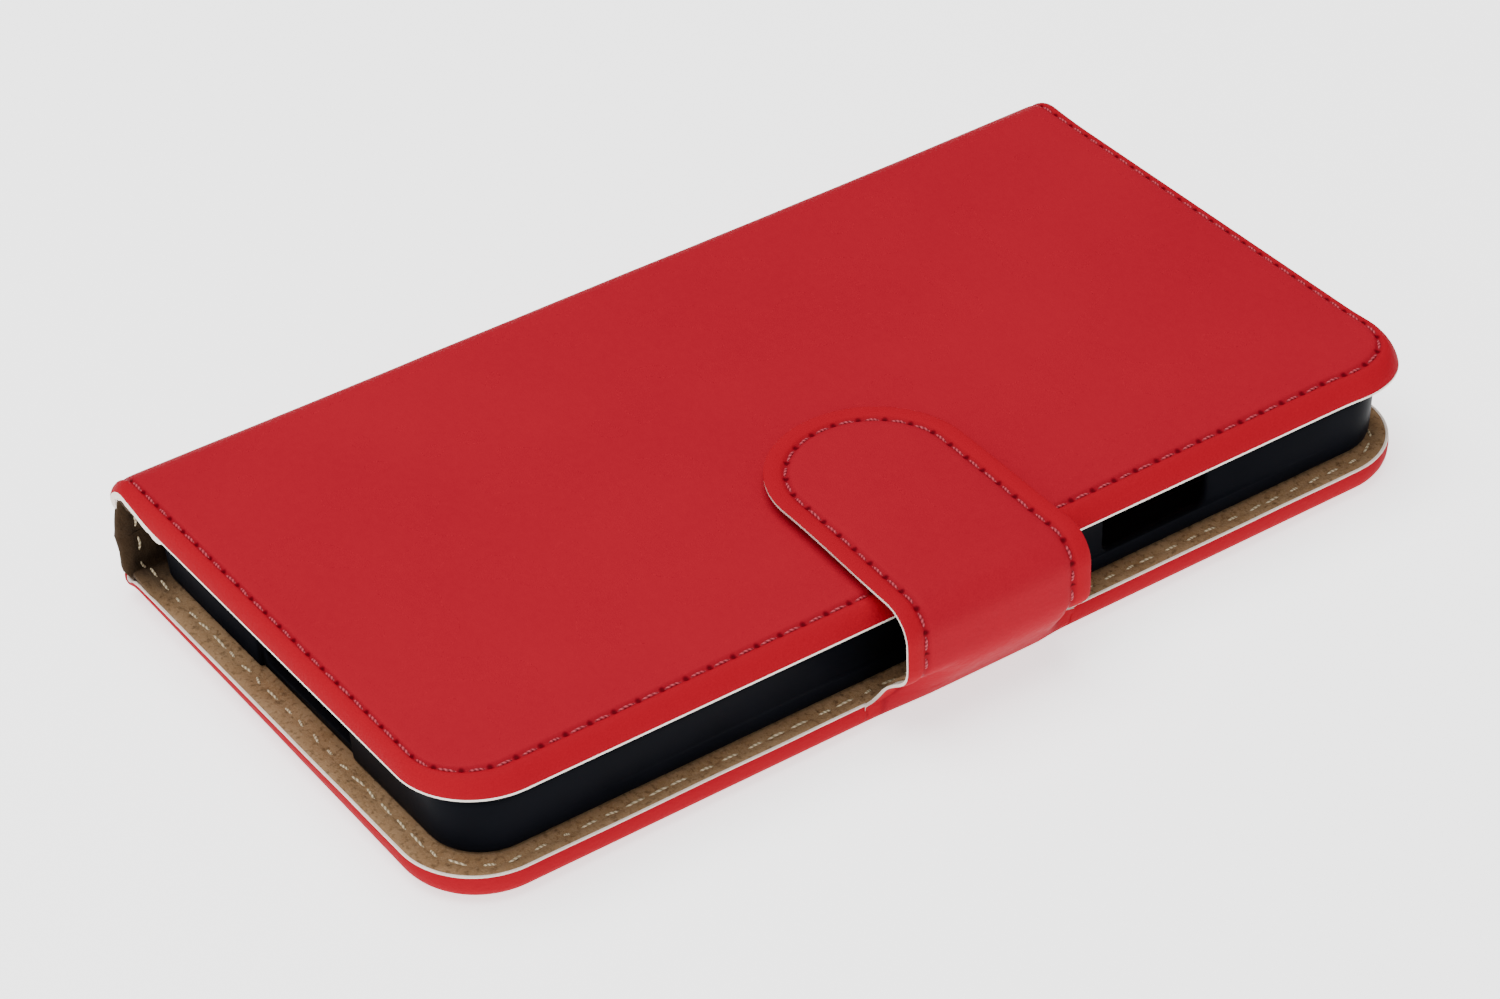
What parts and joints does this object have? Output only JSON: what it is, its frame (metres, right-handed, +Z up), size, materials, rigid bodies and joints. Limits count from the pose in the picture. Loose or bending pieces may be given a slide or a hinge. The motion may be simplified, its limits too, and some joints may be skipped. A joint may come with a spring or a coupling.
{
  "type": "phone wallet case",
  "caption": "Book-style phone wallet case: hinged leather covers round a clip-in phone cradle, with card pockets and a magnetic closing strap.",
  "frame": {"origin": "bottom centre of the closed case's bounding box, on the back cover's underside", "axes": "+X from the spine to the closing strap, +Y along the spine towards the cradle's top end, +Z up from the back cover to the front cover"},
  "size_m": [0.0876, 0.15, 0.0206],
  "materials": {
    "red_leather": "smooth matte polyurethane leather with a cream backing",
    "brown_suede": "short-napped microfibre suede",
    "grey_board": "raw fibre board",
    "black_plastic": "smooth moulded plastic with a soft sheen",
    "clear_adhesive": "double-sided adhesive film",
    "cream_thread": "twisted polyester thread",
    "red_thread": "twisted polyester thread",
    "magnet_nickel": "nickel plate",
    "keeper_steel": "bare sheet steel"
  },
  "bodies": {
    "back_cover": {"outer_leather_back": "red_leather", "stiffener_board_back": "grey_board", "lining_back": "brown_suede", "cradle_adhesive_sheet": "clear_adhesive", "phone_cradle": "black_plastic", "seam_thread_back": "cream_thread"},
    "spine": {"outer_leather_spine": "red_leather", "lining_spine": "brown_suede", "seam_thread_spine_1": "cream_thread", "seam_thread_spine_2": "cream_thread"},
    "front_cover": {"outer_leather_front": "red_leather", "stiffener_board_front": "grey_board", "lining_front": "brown_suede", "clasp_keeper_plate": "keeper_steel", "cash_pocket_panel": "red_leather", "card_pocket_1": "red_leather", "card_pocket_2": "red_leather", "card_pocket_3": "red_leather", "seam_thread_front": "cream_thread"},
    "strap_side": {"strap_leather_side": "red_leather", "strap_lining_side": "brown_suede"},
    "strap_tab": {"strap_leather_tab": "red_leather", "strap_lining_tab": "brown_suede", "strap_stiffener_tab": "grey_board", "clasp_magnet": "magnet_nickel", "strap_thread_tab": "red_thread"}
  },
  "joints": [
    {"name": "spine_fold", "type": "hinge", "parent": "back_cover", "child": "spine", "pos_m": [-0.04263, 0, 0.00117], "axis": [0, -1, 0], "range_deg": [0, 90]},
    {"name": "cover_fold", "type": "hinge", "parent": "spine", "child": "front_cover", "pos_m": [-0.04263, 0, 0.01713], "axis": [0, -1, 0], "range_deg": [0, 90]},
    {"name": "strap_fold", "type": "hinge", "parent": "back_cover", "child": "strap_side", "pos_m": [0.039, 0, 0.00274], "axis": [0, 1, 0], "range_deg": [0, 75]},
    {"name": "tab_fold", "type": "hinge", "parent": "strap_side", "child": "strap_tab", "pos_m": [0.04248, 0, 0.01888], "axis": [0, 1, 0], "range_deg": [0, 105]}
  ]
}
